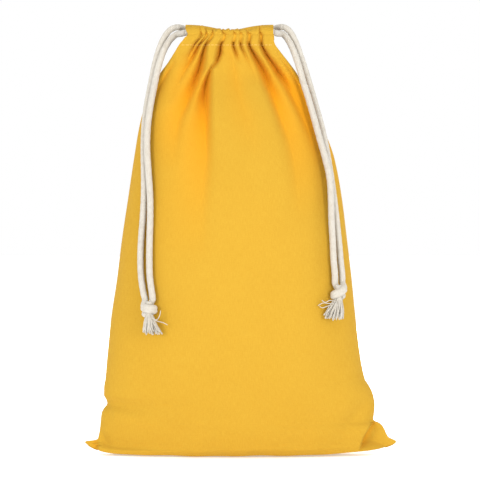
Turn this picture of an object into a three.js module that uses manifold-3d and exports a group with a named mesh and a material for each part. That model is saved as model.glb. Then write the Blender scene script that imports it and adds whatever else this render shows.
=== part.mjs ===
// A cotton drawstring bag, cinched shut, with its cord ends hanging down over the front.
// Millimetres, +Z up, the front of the bag faces -Y, origin on the ground under the middle.
import * as THREE from 'three';
import Module from 'manifold-3d';
import { mergeVertices } from 'three/addons/utils/BufferGeometryUtils.js';

// Driving sizes of the bag.
const bagWidth = 250; // across the two bottom corners
const bagDepth = 114; // front to back, at the fullest height
const slitHeight = 305; // where the side seams end and the mouth slit starts
const cloth = 1.2; // wall of a panel
const seamGap = 0.15; // each panel stops this far from the seam plane
const fitGap = 0.3; // between pieces that touch

// The gathered hem: a strip above the slit, then a round tunnel for the cords.
const gatheredCloth = 2.4; // wall of the hem, thick because it is gathered
const hemStrip = 23.6; // from the slit's foot to the stitches that close the tunnel
const mouthHalfGap = 3.8; // half of the slit between the two hems
const hemLeft = -43; // the tunnel's ends
const hemRight = 25.5;
const slitFoot = 4; // the hems' inner faces stand apart from this far above the slit's foot
const tunnelSink = 0.5; // the tunnel's foot lies this far below the strip's top
const hemFlare = [5, 2]; // the strip's top is this much wider than the tunnel, left and right
const stitchThread = 0.6;
const stitchLength = 2.6;
const stitchPitch = 3.6;
const stitchDrop = 2.4; // the stitches lie this far below the strip's top

// The two cords.
const cordDiameter = 5;
const cordSides = 8;
const cordStep = 14; // along the cord, between two rings of its tube
const cordGap = 0.5; // between the two cords inside a tunnel
const boreClearance = 0.55; // between a cord and the tunnel's wall
const knotRadius = new THREE.Vector3(6.4, 5.2, 6.6);
const tasselTop = 3.2;
const tasselBottom = 6.2;

// Seam allowances inside the bag.
const seamWidth = 7;
const seamThick = 1.2;
const seamInset = 6; // from the bag's edge to the seam's own edge

const cordRadius = cordDiameter / 2;
const twistRadius = cordRadius + cordGap / 2; // the cords lie this far from the tunnel's middle
const tunnelBore = twistRadius + cordRadius + boreClearance;
const tunnelRadius = tunnelBore + gatheredCloth;
const tunnelY = mouthHalfGap + tunnelRadius;
const stitchHeight = slitHeight + hemStrip;
const tunnelZ = stitchHeight - tunnelSink + tunnelRadius;
const slitCutStart = slitHeight + slitFoot;

// The bag's outline, bottom to top. Heights are shares of slitHeight, left and right of half of
// bagWidth, depth of half of bagDepth. A higher point value makes the side edges sharper.
const bodyStations = [
  { height: 0, left: -0.82, right: 0.74, depth: 0.456, point: 0.75 },
  { height: 0.013, left: -0.92, right: 0.88, depth: 0.53, point: 0.8 },
  { height: 0.0295, left: -1, right: 1, depth: 0.56, point: 0.95 },
  { height: 0.05, left: -0.92, right: 0.94, depth: 0.6, point: 0.8 },
  { height: 0.092, left: -0.9, right: 0.86, depth: 0.68, point: 0.6 },
  { height: 0.14, left: -0.87, right: 0.84, depth: 0.75, point: 0.55 },
  { height: 0.197, left: -0.867, right: 0.79, depth: 0.834, point: 0.52 },
  { height: 0.275, left: -0.85, right: 0.76, depth: 0.914, point: 0.5 },
  { height: 0.407, left: -0.81, right: 0.726, depth: 0.99, point: 0.5 },
  { height: 0.538, left: -0.765, right: 0.688, depth: 1, point: 0.5 },
  { height: 0.669, left: -0.72, right: 0.65, depth: 0.947, point: 0.5 },
  { height: 0.8, left: -0.675, right: 0.579, depth: 0.79, point: 0.5 },
  { height: 0.905, left: -0.624, right: 0.477, depth: 0.6, point: 0.5 },
  { height: 1, left: -0.53, right: 0.36, depth: 0.368, point: 0.5 },
];
const arcSteps = 24;

// Half outlines of one height, as x, y pairs from the left edge round the front to the right edge.
function halfSection(station, inset, closeAt) {
  const left = station.x0 + inset.side;
  const right = station.x1 - inset.side;
  const depth = station.depth - inset.front;
  const middle = (left + right) / 2;
  const half = (right - left) / 2;
  const points = [];
  for (let i = 0; i <= arcSteps; i += 1) {
    const turn = Math.PI * (1 - i / arcSteps);
    const bulge = Math.sin(turn) ** (2 * station.point);
    points.push([middle + half * Math.cos(turn), -seamGap - depth * (i % arcSteps ? bulge : 0)]);
  }
  if (closeAt > -seamGap) {
    points.push([right, closeAt], [left, closeAt]);
  }
  return points;
}

// A closed solid through a stack of outlines with equally many points.
function loft(rows) {
  const count = rows[0].points.length;
  const positions = [];
  for (const row of rows) {
    for (const [x, y] of row.points) {
      positions.push(x, y, row.z);
    }
  }
  const index = [];
  for (let r = 0; r < rows.length - 1; r += 1) {
    for (let i = 0; i < count; i += 1) {
      const a = r * count + i;
      const b = r * count + ((i + 1) % count);
      index.push(a, b, b + count, a, b + count, a + count);
    }
  }
  const top = (rows.length - 1) * count;
  for (let i = 1; i < count - 1; i += 1) {
    index.push(0, i + 1, i, top, top + i, top + i + 1);
  }
  const geometry = new THREE.BufferGeometry();
  geometry.setAttribute('position', new THREE.Float32BufferAttribute(positions, 3));
  geometry.setIndex(index);
  return geometry;
}

const wasm = await Module();
wasm.setup();

function toSolid(geometry) {
  const bare = geometry.clone();
  bare.deleteAttribute('normal');
  bare.deleteAttribute('uv');
  const merged = mergeVertices(bare, 1e-4);
  return new wasm.Manifold(new wasm.Mesh({
    numProp: 3,
    vertProperties: new Float32Array(merged.attributes.position.array),
    triVerts: new Uint32Array(merged.index.array),
  }));
}

function toGeometry(solid) {
  const mesh = solid.getMesh();
  const geometry = new THREE.BufferGeometry();
  geometry.setAttribute('position', new THREE.Float32BufferAttribute(mesh.vertProperties, 3));
  geometry.setIndex(Array.from(mesh.triVerts));
  geometry.computeVertexNormals();
  return geometry;
}

// The same piece on the back half of the bag.
function mirrored(geometry) {
  const copy = geometry.clone().scale(1, -1, 1);
  const index = copy.index.array;
  for (let i = 0; i < index.length; i += 3) {
    [index[i], index[i + 1]] = [index[i + 1], index[i]];
  }
  copy.computeVertexNormals();
  return copy;
}

const looks = {
  cotton: new THREE.MeshStandardMaterial({ color: 0xfbc844, roughness: 0.9, metalness: 0 }),
  cord: new THREE.MeshStandardMaterial({ color: 0xece0cc, roughness: 0.95, metalness: 0 }),
  thread: new THREE.MeshStandardMaterial({ color: 0xf6c254, roughness: 0.8, metalness: 0 }),
};

const bag = new THREE.Group();

function addPiece(name, geometry, look) {
  const mesh = new THREE.Mesh(geometry, looks[look].clone());
  mesh.name = name;
  bag.add(mesh);
  return mesh;
}

// A body station in millimetres.
function sized(station) {
  return {
    z: station.height * slitHeight,
    x0: (station.left * bagWidth) / 2,
    x1: (station.right * bagWidth) / 2,
    depth: (station.depth * bagDepth) / 2,
    point: station.point,
  };
}

// The body station at a height between the listed ones.
function stationAt(z) {
  const all = bodyStations.map(sized);
  const upper = Math.max(1, all.findIndex((s) => s.z >= z));
  const low = all[upper - 1];
  const high = all[upper];
  const share = (z - low.z) / (high.z - low.z);
  const mix = (key) => low[key] + (high[key] - low[key]) * share;
  return { z, x0: mix('x0'), x1: mix('x1'), depth: mix('depth'), point: mix('point') };
}

// Front panel: half of the bag, open towards the seam plane and at the top, with a flat floor.
function frontPanel() {
  const stations = bodyStations.map(sized);
  const outer = stations.map((s) => ({
    z: s.z - (s.z === slitHeight ? fitGap : 0),
    points: halfSection(s, { side: 0, front: 0 }, -seamGap),
  }));
  const inset = { side: 2.5 * cloth, front: cloth };
  const floor = stationAt(cloth);
  const above = { ...stations[stations.length - 1], z: slitHeight + 1 };
  const inner = [floor, ...stations.slice(1), above].map((s) => ({
    z: s.z,
    points: halfSection(s, inset, 1),
  }));
  return toGeometry(toSolid(loft(outer)).subtract(toSolid(loft(inner))));
}

// One hem: a gathered strip on the panel's top edge, joined to the cord tunnel.
function frontHem() {
  const foot = sized(bodyStations[bodyStations.length - 1]);
  const neckDepth = tunnelY + gatheredCloth / 2;
  const stations = [
    foot,
    { ...foot, z: (slitHeight + stitchHeight) / 2, x0: (foot.x0 + hemLeft) / 2 - 2,
      x1: (foot.x1 + hemRight) / 2 + 1, depth: (foot.depth + neckDepth) / 2 },
    { ...foot, z: stitchHeight, x0: hemLeft - hemFlare[0], x1: hemRight + hemFlare[1],
      depth: neckDepth },
  ];
  const outer = stations.map((s) => ({
    z: s.z,
    points: halfSection(s, { side: 0, front: 0 }, -seamGap),
  }));
  const inset = { side: gatheredCloth, front: gatheredCloth };
  const inner = stations.map((s, i) => ({
    z: s.z + (i - 1) * 1.5,
    points: halfSection(s, inset, 1),
  }));
  const strip = toSolid(loft(outer)).subtract(toSolid(loft(inner)));
  const length = hemRight - hemLeft;
  const along = (radius, extra) => {
    const tube = new THREE.CylinderGeometry(radius, radius, length + extra, 24);
    tube.rotateZ(Math.PI / 2);
    tube.translate((hemLeft + hemRight) / 2, -tunnelY, tunnelZ);
    return toSolid(tube);
  };
  const slit = new THREE.BoxGeometry(2 * bagWidth, 2 * mouthHalfGap, 2 * tunnelZ - slitCutStart);
  slit.translate(0, 0, slitCutStart + tunnelZ - slitCutStart / 2);
  return toGeometry(
    strip.subtract(toSolid(slit)).add(along(tunnelRadius, 0)).subtract(along(tunnelBore, 4)),
  );
}

// A row of stitches along the foot of the tunnel, one thread that dips into the cloth.
function hemStitching() {
  const foot = sized(bodyStations[bodyStations.length - 1]);
  const neckDepth = tunnelY + gatheredCloth / 2;
  const slope = (foot.depth - neckDepth) / hemStrip;
  const y = -(seamGap + neckDepth + slope * stitchDrop + fitGap + stitchThread);
  const z = stitchHeight - stitchDrop;
  const points = [];
  const half = (hemRight - hemLeft) / 2 - 8;
  const count = Math.round((2 * half) / stitchPitch);
  for (let i = 0; i <= count; i += 1) {
    const x = -half + (2 * half * i) / count;
    points.push(new THREE.Vector3(x, y, z));
    points.push(new THREE.Vector3(x + stitchLength / 2, y - stitchThread / 3, z));
  }
  const middle = (hemLeft + hemRight) / 2;
  const path = new THREE.CatmullRomCurve3(points.map((p) => p.setX(p.x + middle)));
  return sweep(path, stitchThread / 2, 6, points.length);
}

// A closed tube along a curve.
function sweep(path, radius, sides, steps) {
  const section = new THREE.Shape();
  for (let i = 0; i < sides; i += 1) {
    const turn = (2 * Math.PI * (i + 0.5)) / sides;
    const put = i === 0 ? 'moveTo' : 'lineTo';
    section[put](radius * Math.cos(turn), radius * Math.sin(turn));
  }
  section.closePath();
  const geometry = new THREE.ExtrudeGeometry(section, {
    steps, extrudePath: path, bevelEnabled: false,
  });
  return toGeometry(toSolid(geometry));
}

function cordAlong(points) {
  const path = new THREE.CatmullRomCurve3(points.map((p) => new THREE.Vector3(...p)));
  return sweep(path, cordRadius, cordSides, Math.max(4, Math.round(path.getLength() / cordStep)));
}

// The strip of doubled cloth inside one side edge.
function sideSeam(edge) {
  const bottom = 0.1 * slitHeight;
  const top = slitHeight - 4;
  const stretch = 10;
  const rows = [];
  for (let i = 0; i <= stretch; i += 1) {
    const s = stationAt(bottom + ((top - bottom) * i) / stretch);
    const out = edge < 0 ? s.x0 + seamInset : s.x1 - seamInset;
    const inn = out - edge * seamWidth;
    const [low, high] = edge < 0 ? [out, inn] : [inn, out];
    const y = seamThick / 2;
    rows.push({ z: s.z, points: [[low, -y], [high, -y], [high, y], [low, y]] });
  }
  return loft(rows);
}

// The strip of doubled cloth that stands up inside the bottom edge.
function bottomSeam() {
  const s = stationAt(cloth);
  const length = s.x1 - s.x0 - 14 * cloth;
  const strip = new THREE.BoxGeometry(length, seamThick, seamWidth);
  strip.translate((s.x0 + s.x1) / 2, 0, cloth + fitGap + seamWidth / 2);
  return toGeometry(toSolid(strip));
}

// The middle of a cord inside a tunnel. The two cords wind half a turn round each other, so each
// one is on top at the end where it comes out.
function insideTunnel(side, depthSign, x) {
  const turn = Math.PI * THREE.MathUtils.smoothstep(x, hemLeft, hemRight);
  const up = -side * twistRadius * Math.cos(turn);
  const across = -side * twistRadius * Math.sin(turn);
  return [x, depthSign * (tunnelY + across), tunnelZ + up];
}

function tunnelRun(side, depthSign) {
  const points = [];
  const stops = 8;
  for (let i = 0; i <= stops; i += 1) {
    points.push(insideTunnel(side, depthSign, hemLeft + ((hemRight - hemLeft) * i) / stops));
  }
  return cordAlong(points);
}

// From the tunnel's end to the point between the hems where the hanging strand starts.
function exitRun(side, depthSign, strand) {
  const end = side < 0 ? hemLeft : hemRight;
  const [, y, z] = insideTunnel(side, depthSign, end);
  const first = new THREE.Vector3(...strand[0]);
  const back = first.clone().sub(new THREE.Vector3(...strand[1])).normalize();
  const out = first.clone().addScaledVector(back, fitGap);
  const lead = first.clone().addScaledVector(back, 2.2);
  return cordAlong([
    [end + side * fitGap, y, z],
    [end + side * 1.6, y, z],
    [end + side * 3.6, y * 0.72, (3 * z + lead.z) / 4],
    lead.toArray(),
    out.toArray(),
  ]);
}

// The cord's turn at the far end, from the front tunnel round to the back tunnel.
function farTurn(side) {
  const end = side < 0 ? hemRight : hemLeft;
  const out = -side;
  const low = tunnelZ - twistRadius;
  return cordAlong([
    [end + out * fitGap, -tunnelY, low],
    [end + out * 1.8, -tunnelY, low],
    [end + out * 5, -tunnelY * 0.62, low - 1.4],
    [end + out * 6, 0, low - 3.4],
    [end + out * 5, tunnelY * 0.62, low - 1.4],
    [end + out * 1.8, tunnelY, low],
    [end + out * fitGap, tunnelY, low],
  ]);
}

// The hanging strands, from the exit down to the knot.
const strandRoutes = {
  left_back_strand: [
    [-50.4, 1.6, 342], [-52.8, 1.6, 341.7], [-56, 1.2, 340], [-59, 0.6, 336.8],
    [-61.9, -0.4, 332], [-64.4, -1.8, 326], [-66.6, -3.4, 319], [-68.8, -4.8, 310],
    [-70.9, -7, 299], [-73, -11, 288], [-74.9, -15.6, 276], [-76.2, -19.2, 262],
    [-76.6, -24, 245], [-76.2, -28.9, 227], [-76.1, -33.1, 209], [-76.9, -35.4, 191],
    [-78.2, -36.8, 174], [-78.8, -38.1, 158], [-78.2, -39.8, 144], [-76.4, -42.2, 132],
    [-74.8, -44, 126.2],
  ],
  left_front_strand: [
    [-50.4, -1.6, 336.4], [-52.6, -2.2, 335.2], [-55.2, -3.4, 332.8], [-58, -4.8, 329],
    [-60.8, -6.2, 323.8], [-63.2, -7.8, 317.4], [-65.6, -9.6, 309], [-67.7, -12, 299],
    [-69.8, -15.8, 288], [-71.8, -20.4, 276], [-73.4, -24.8, 262], [-73.8, -29.4, 245],
    [-72.6, -33.8, 227], [-71.3, -37.6, 209], [-71, -40.4, 191], [-71.4, -42.2, 174],
    [-71.6, -43.5, 158], [-71.2, -44.6, 144], [-69.6, -46, 132], [-68.9, -46.8, 126.2],
  ],
  right_back_strand: [
    [33.4, 1.6, 342.2], [35.6, 1.6, 341.7], [38.6, 1.2, 339.6], [41.3, 0.5, 335.9],
    [43.7, -0.4, 331], [45.9, -1.4, 325.4], [48.3, -2.4, 318.4], [51.2, -3.4, 309.5],
    [54.4, -4.4, 299], [57.6, -6.2, 288], [61, -9.6, 275.6], [64.4, -13.8, 263],
    [67.2, -18.4, 249.6], [69.6, -21.8, 235.6], [71.8, -24.4, 221.4], [74, -27, 205],
    [76, -27.8, 188], [77.8, -28.4, 171], [79, -29.1, 157.5], [80.2, -30.3, 146],
    [80.4, -31.6, 138.8],
  ],
  right_front_strand: [
    [33.4, -1.6, 336.6], [35.4, -2.4, 335.2], [37.8, -3.8, 332], [40.2, -5.2, 327.6],
    [42.6, -6.6, 322], [44.7, -7.8, 316], [46.9, -9, 308.8], [49.6, -10.4, 299],
    [53, -12.8, 288], [56.6, -16.4, 275.6], [60, -19.8, 263], [63.6, -23.2, 249.6],
    [67.4, -27.2, 235.6], [70.4, -30.4, 221.4], [71.4, -32.2, 205], [71.8, -33.2, 188],
    [72.8, -34, 171], [73.4, -34.9, 157.5], [74.4, -35.7, 146], [74.5, -36.2, 138.8],
  ],
};

const knotPlaces = {
  left: { knot: [-71.8, -48, 119], tassel: [-70, -51.4, 97.5] },
  right: { knot: [77.4, -37.4, 131.4], tassel: [74.4, -42, 108.7] },
};

function knotBody(place) {
  const ball = new THREE.SphereGeometry(1, 16, 12);
  ball.rotateX(Math.PI / 2);
  ball.scale(knotRadius.x, knotRadius.y, knotRadius.z);
  ball.translate(...place.knot);
  return toGeometry(toSolid(ball));
}

function tassel(place) {
  const top = new THREE.Vector3(...place.knot);
  top.z -= knotRadius.z + fitGap;
  const bottom = new THREE.Vector3(...place.tassel);
  const drop = top.z - bottom.z;
  const profile = [
    new THREE.Vector2(0, 0),
    new THREE.Vector2(tasselBottom * 0.8, 0.6),
    new THREE.Vector2(tasselBottom, 3),
    new THREE.Vector2((tasselTop + tasselBottom) / 2, drop * 0.6),
    new THREE.Vector2(tasselTop, drop),
    new THREE.Vector2(0, drop),
  ];
  const cone = new THREE.LatheGeometry(profile, 14);
  cone.rotateX(Math.PI / 2);
  const position = cone.attributes.position;
  for (let i = 0; i < position.count; i += 1) {
    const share = position.getZ(i) / drop;
    position.setX(i, position.getX(i) + bottom.x + (top.x - bottom.x) * share);
    position.setY(i, position.getY(i) + bottom.y + (top.y - bottom.y) * share);
    position.setZ(i, position.getZ(i) + bottom.z);
  }
  return toGeometry(toSolid(cone));
}

addPiece('front_panel', frontPanel(), 'cotton');
addPiece('back_panel', mirrored(frontPanel()), 'cotton');
addPiece('front_hem', frontHem(), 'cotton');
addPiece('back_hem', mirrored(frontHem()), 'cotton');
addPiece('front_hem_stitching', hemStitching(), 'thread');
addPiece('back_hem_stitching', mirrored(hemStitching()), 'thread');
addPiece('left_side_seam', sideSeam(-1), 'cotton');
addPiece('right_side_seam', sideSeam(1), 'cotton');
addPiece('bottom_seam', bottomSeam(), 'cotton');

for (const [sideName, side] of [['left', -1], ['right', 1]]) {
  for (const [faceName, depthSign] of [['front', -1], ['back', 1]]) {
    const strand = `${sideName}_${faceName}_strand`;
    const route = strandRoutes[strand];
    addPiece(`${sideName}_cord_${faceName}_run`, tunnelRun(side, depthSign), 'cord');
    addPiece(`${sideName}_cord_${faceName}_exit`, exitRun(side, depthSign, route), 'cord');
    addPiece(strand, cordAlong(route), 'cord');
  }
  addPiece(`${sideName}_cord_far_turn`, farTurn(side), 'cord');
  addPiece(`${sideName}_knot`, knotBody(knotPlaces[sideName]), 'cord');
  addPiece(`${sideName}_frayed_end`, tassel(knotPlaces[sideName]), 'cord');
}

export default bag;
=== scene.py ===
"""A cotton drawstring bag, gathered shut by two cords, standing on a plain pale floor.

Everything is in metres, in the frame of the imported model: +Z up, the front faces -Y.
"""

import math

import bpy
import numpy as np
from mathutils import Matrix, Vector, noise


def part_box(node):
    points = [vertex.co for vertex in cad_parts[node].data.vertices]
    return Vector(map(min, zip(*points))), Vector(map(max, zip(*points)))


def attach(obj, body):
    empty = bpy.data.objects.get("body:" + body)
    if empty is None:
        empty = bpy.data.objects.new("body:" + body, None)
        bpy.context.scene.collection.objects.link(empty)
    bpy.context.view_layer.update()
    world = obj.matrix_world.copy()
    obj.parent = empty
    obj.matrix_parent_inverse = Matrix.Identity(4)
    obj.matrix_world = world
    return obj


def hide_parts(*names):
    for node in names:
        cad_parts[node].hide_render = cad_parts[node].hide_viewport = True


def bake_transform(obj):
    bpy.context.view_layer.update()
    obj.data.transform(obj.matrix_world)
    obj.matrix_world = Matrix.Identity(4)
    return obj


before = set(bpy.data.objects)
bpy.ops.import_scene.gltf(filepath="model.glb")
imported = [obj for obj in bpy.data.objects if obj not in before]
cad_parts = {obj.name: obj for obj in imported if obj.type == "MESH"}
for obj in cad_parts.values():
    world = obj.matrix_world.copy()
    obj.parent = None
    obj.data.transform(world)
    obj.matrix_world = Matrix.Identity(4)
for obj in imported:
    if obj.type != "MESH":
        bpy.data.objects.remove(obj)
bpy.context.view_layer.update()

MM = 0.001
rng = np.random.default_rng(11)

slit_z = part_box("front_panel")[1][2]
run_low, run_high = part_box("left_cord_front_run")
hem_x0, hem_x1 = run_low[0], run_high[0]
cord_d = 0.005
cord_r = cord_d / 2


# ---------------------------------------------------------------- camera
def make_camera():
    data = bpy.data.cameras.new("camera")
    camera = bpy.data.objects.new("camera", data)
    bpy.context.scene.collection.objects.link(camera)
    data.sensor_width = 36
    data.lens = 225
    look_at = Vector((-0.0004, 0.0, 0.172))
    rise = math.radians(1.2)
    distance = 2.4
    camera.location = look_at + distance * Vector((0, -math.cos(rise), math.sin(rise)))
    camera.rotation_euler = (look_at - camera.location).to_track_quat("-Z", "Y").to_euler()
    bpy.context.scene.camera = camera


# ---------------------------------------------------------------- small helpers
def smooth(value, low, high):
    share = np.clip((np.asarray(value, float) - low) / (high - low), 0, 1)
    return share * share * (3 - 2 * share)


def spline(points, step):
    """Points along a Catmull-Rom curve through the given ones, about step apart."""
    p = np.array(points, float)
    p = np.vstack([2 * p[0] - p[1], p, 2 * p[-1] - p[-2]])
    dense = []
    for a, b, c, d in zip(p, p[1:], p[2:], p[3:]):
        t = np.linspace(0, 1, 12, endpoint=False)[:, None]
        dense.append(0.5 * (2 * b + (c - a) * t + (2 * a - 5 * b + 4 * c - d) * t**2
                            + (3 * b - a - 3 * c + d) * t**3))
    dense = np.vstack(dense + [p[-2:-1]])
    run = np.concatenate([[0], np.cumsum(np.linalg.norm(np.diff(dense, axis=0), axis=1))])
    stops = np.linspace(0, run[-1], max(3, int(round(run[-1] / step)) + 1))
    return np.column_stack([np.interp(stops, run, dense[:, k]) for k in range(3)])


def path_length(points):
    return float(np.linalg.norm(np.diff(np.array(points), axis=0), axis=1).sum())


def rings_along(path, radius, sides):
    """Rings of points round a path. radius is a function of (distance, angles)."""
    path = np.array(path, float)
    heading = np.gradient(path, axis=0)
    heading /= np.linalg.norm(heading, axis=1)[:, None]
    side = np.cross(heading[0], (0.0, 0.0, 1.0))
    if np.linalg.norm(side) < 0.1:
        side = np.cross(heading[0], (0.0, 1.0, 0.0))
    run = np.concatenate([[0], np.cumsum(np.linalg.norm(np.diff(path, axis=0), axis=1))])
    angles = np.arange(sides) * 2 * np.pi / sides
    rings = []
    for point, ahead, gone in zip(path, heading, run):
        side = side - ahead * side.dot(ahead)
        side /= np.linalg.norm(side)
        other = np.cross(ahead, side)
        reach = radius(gone, angles)[:, None]
        rings.append(point + reach * (np.cos(angles)[:, None] * side + np.sin(angles)[:, None] * other))
    return np.array(rings)


def tube(rings):
    """Vertices and faces of the closed tube through rings, its two flat ends last."""
    count, sides = rings.shape[:2]
    faces = []
    for r in range(count - 1):
        for i in range(sides):
            j = (i + 1) % sides
            faces.append((r * sides + i, r * sides + j, (r + 1) * sides + j, (r + 1) * sides + i))
    faces.append(tuple(range(sides))[::-1])
    faces.append(tuple(range((count - 1) * sides, count * sides)))
    return rings.reshape(-1, 3), faces


def sweep(path, radius, sides):
    return tube(rings_along(path, radius, sides))


def joined(parts):
    verts, faces, base = [], [], 0
    for v, f in parts:
        verts.append(v)
        faces += [tuple(i + base for i in face) for face in f]
        base += len(v)
    return np.vstack(verts), faces


def add_piece(name, verts, faces, material):
    mesh = bpy.data.meshes.new(name)
    mesh.from_pydata([tuple(v) for v in verts], [], faces)
    mesh.update()
    mesh.polygons.foreach_set("use_smooth", [len(face) < 5 for face in faces])
    mesh.materials.append(material)
    piece = bpy.data.objects.new(name, mesh)
    bpy.context.scene.collection.objects.link(piece)
    return piece


# ---------------------------------------------------------------- materials
def new_material(name):
    material = bpy.data.materials.new(name)
    material.use_nodes = True
    tree = material.node_tree
    return material, tree, tree.nodes["Principled BSDF"]


def node(tree, kind, **inputs):
    made = tree.nodes.new(kind)
    for key, value in inputs.items():
        made.inputs[key.replace("_", " ")].default_value = value
    return made


def math_node(tree, operation, a, b=None):
    made = tree.nodes.new("ShaderNodeMath")
    made.operation = operation
    for socket, value in zip(made.inputs, (a, b)):
        if value is None:
            continue
        if isinstance(value, (int, float)):
            socket.default_value = value
        else:
            tree.links.new(value, socket)
    return made.outputs[0]


def weighed_sum(tree, a, share_a, b, share_b):
    return math_node(tree, "ADD", math_node(tree, "MULTIPLY", a, share_a),
                     math_node(tree, "MULTIPLY", b, share_b))


def ramp(tree, factor, stops):
    made = tree.nodes.new("ShaderNodeValToRGB")
    elements = made.color_ramp.elements
    for element, (place, colour) in zip(elements, (stops[0], stops[-1])):
        element.position = place
        element.color = (*colour, 1)
    for place, colour in stops[1:-1]:
        elements.new(place).color = (*colour, 1)
    tree.links.new(factor, made.inputs["Fac"])
    return made.outputs["Color"]


def stretched_noise(tree, vector, scale, stretch, detail=2.0):
    mapping = tree.nodes.new("ShaderNodeMapping")
    mapping.inputs["Scale"].default_value = stretch
    tree.links.new(vector, mapping.inputs["Vector"])
    made = node(tree, "ShaderNodeTexNoise", Scale=scale, Detail=detail, Roughness=0.6)
    tree.links.new(mapping.outputs[0], made.inputs["Vector"])
    return made.outputs["Fac"]


def cotton_material():
    """Plain-weave cotton: threads both ways, uneven yarn, faint clouding of the dye, and a painted fold
    shade.
    """
    material, tree, shader = new_material("yellow_cotton")
    uv = tree.nodes.new("ShaderNodeUVMap")
    uv.uv_map = "cloth"
    across = stretched_noise(tree, uv.outputs[0], 60.0, (20.0, 3.2, 1.0))
    along = stretched_noise(tree, uv.outputs[0], 60.0, (5.0, 18.0, 1.0))
    cloud = stretched_noise(tree, uv.outputs[0], 22.0, (1.0, 1.0, 1.0), 3.0)
    split = tree.nodes.new("ShaderNodeSeparateXYZ")
    tree.links.new(uv.outputs[0], split.inputs[0])
    threads_per_metre = 1100.0
    waves = []
    for k in (0, 1):
        turns = math_node(tree, "MULTIPLY", split.outputs[k], threads_per_metre * 2 * math.pi)
        waves.append(math_node(tree, "SINE", turns))
    weave = math_node(tree, "MULTIPLY", waves[0], waves[1])
    yarn = weighed_sum(tree, across, 0.62, along, 0.38)
    tone = weighed_sum(tree, yarn, 0.84, cloud, 0.16)
    open_cloth = ramp(tree, tone, [(0.32, (0.462, 0.252, 0.0215)), (0.50, (0.488, 0.278, 0.0258)),
                                   (0.68, (0.514, 0.304, 0.0305))])
    # The painted fold shade colour: a more saturated orange than the open cloth, with less green and blue.
    fold_shade_colour = ramp(tree, tone, [(0.32, (0.600, 0.250, 0.0080)), (0.68, (0.650, 0.282, 0.0105))])
    # Painted fold shade: deep in the folds the colour turns a more saturated orange, painted in for the
    # light that bounces in the folds and comes through the dyed cloth.
    fold = tree.nodes.new("ShaderNodeAttribute")
    fold.attribute_name = "painted_fold_shade"
    mix = tree.nodes.new("ShaderNodeMix")
    mix.data_type = "RGBA"
    tree.links.new(fold.outputs["Fac"], mix.inputs["Factor"])
    tree.links.new(open_cloth, mix.inputs["A"])
    tree.links.new(fold_shade_colour, mix.inputs["B"])
    tree.links.new(mix.outputs["Result"], shader.inputs["Base Color"])
    height = math_node(tree, "ADD", yarn, math_node(tree, "MULTIPLY", weave, 0.22))
    bump = node(tree, "ShaderNodeBump", Strength=0.42, Distance=0.0004)
    tree.links.new(height, bump.inputs["Height"])
    tree.links.new(bump.outputs[0], shader.inputs["Normal"])
    rough = math_node(tree, "ADD", math_node(tree, "MULTIPLY", yarn, 0.16), 0.78)
    tree.links.new(rough, shader.inputs["Roughness"])
    shader.inputs["Specular IOR Level"].default_value = 0.06
    shader.inputs["Sheen Weight"].default_value = 0.05
    shader.inputs["Sheen Roughness"].default_value = 0.5
    shader.inputs["Sheen Tint"].default_value = (1.0, 0.82, 0.42, 1)
    return material


def cord_material():
    """Soft undyed cotton cord: fine crossing yarns under a short fuzz."""
    material, tree, shader = new_material("undyed_cotton_cord")
    place = tree.nodes.new("ShaderNodeTexCoord").outputs["Object"]
    fibre = stretched_noise(tree, place, 900.0, (1.0, 1.0, 0.45), 3.0)
    yarn = stretched_noise(tree, place, 330.0, (1.0, 1.0, 0.8), 2.0)
    tone = weighed_sum(tree, fibre, 0.5, yarn, 0.5)
    colour = ramp(tree, tone, [(0.28, (0.400, 0.358, 0.292)), (0.48, (0.472, 0.436, 0.374)),
                               (0.68, (0.515, 0.486, 0.430))])
    tree.links.new(colour, shader.inputs["Base Color"])
    bump = node(tree, "ShaderNodeBump", Strength=0.7, Distance=0.0006)
    tree.links.new(tone, bump.inputs["Height"])
    tree.links.new(bump.outputs[0], shader.inputs["Normal"])
    rough = math_node(tree, "ADD", math_node(tree, "MULTIPLY", fibre, 0.12), 0.84)
    tree.links.new(rough, shader.inputs["Roughness"])
    shader.inputs["Specular IOR Level"].default_value = 0.1
    shader.inputs["Sheen Weight"].default_value = 0.25
    shader.inputs["Sheen Roughness"].default_value = 0.6
    return material


def thread_material():
    material, tree, shader = new_material("sewing_thread")
    place = tree.nodes.new("ShaderNodeTexCoord").outputs["Object"]
    fibre = stretched_noise(tree, place, 2600.0, (0.5, 1.0, 1.0), 2.0)
    colour = ramp(tree, fibre, [(0.3, (0.66, 0.39, 0.06)), (0.7, (0.76, 0.52, 0.14))])
    tree.links.new(colour, shader.inputs["Base Color"])
    bump = node(tree, "ShaderNodeBump", Strength=0.4, Distance=0.0001)
    tree.links.new(fibre, bump.inputs["Height"])
    tree.links.new(bump.outputs[0], shader.inputs["Normal"])
    shader.inputs["Roughness"].default_value = 0.55
    return material


def floor_material():
    material, _, shader = new_material("pale_floor")
    shader.inputs["Base Color"].default_value = (0.93, 0.93, 0.93, 1)
    shader.inputs["Emission Color"].default_value = (1, 1, 1, 1)
    shader.inputs["Emission Strength"].default_value = 0.35
    shader.inputs["Roughness"].default_value = 0.9
    shader.inputs["Specular IOR Level"].default_value = 0.1
    return material


# ---------------------------------------------------------------- cords
cotton = cotton_material()
cord_look = cord_material()
thread = thread_material()

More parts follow.
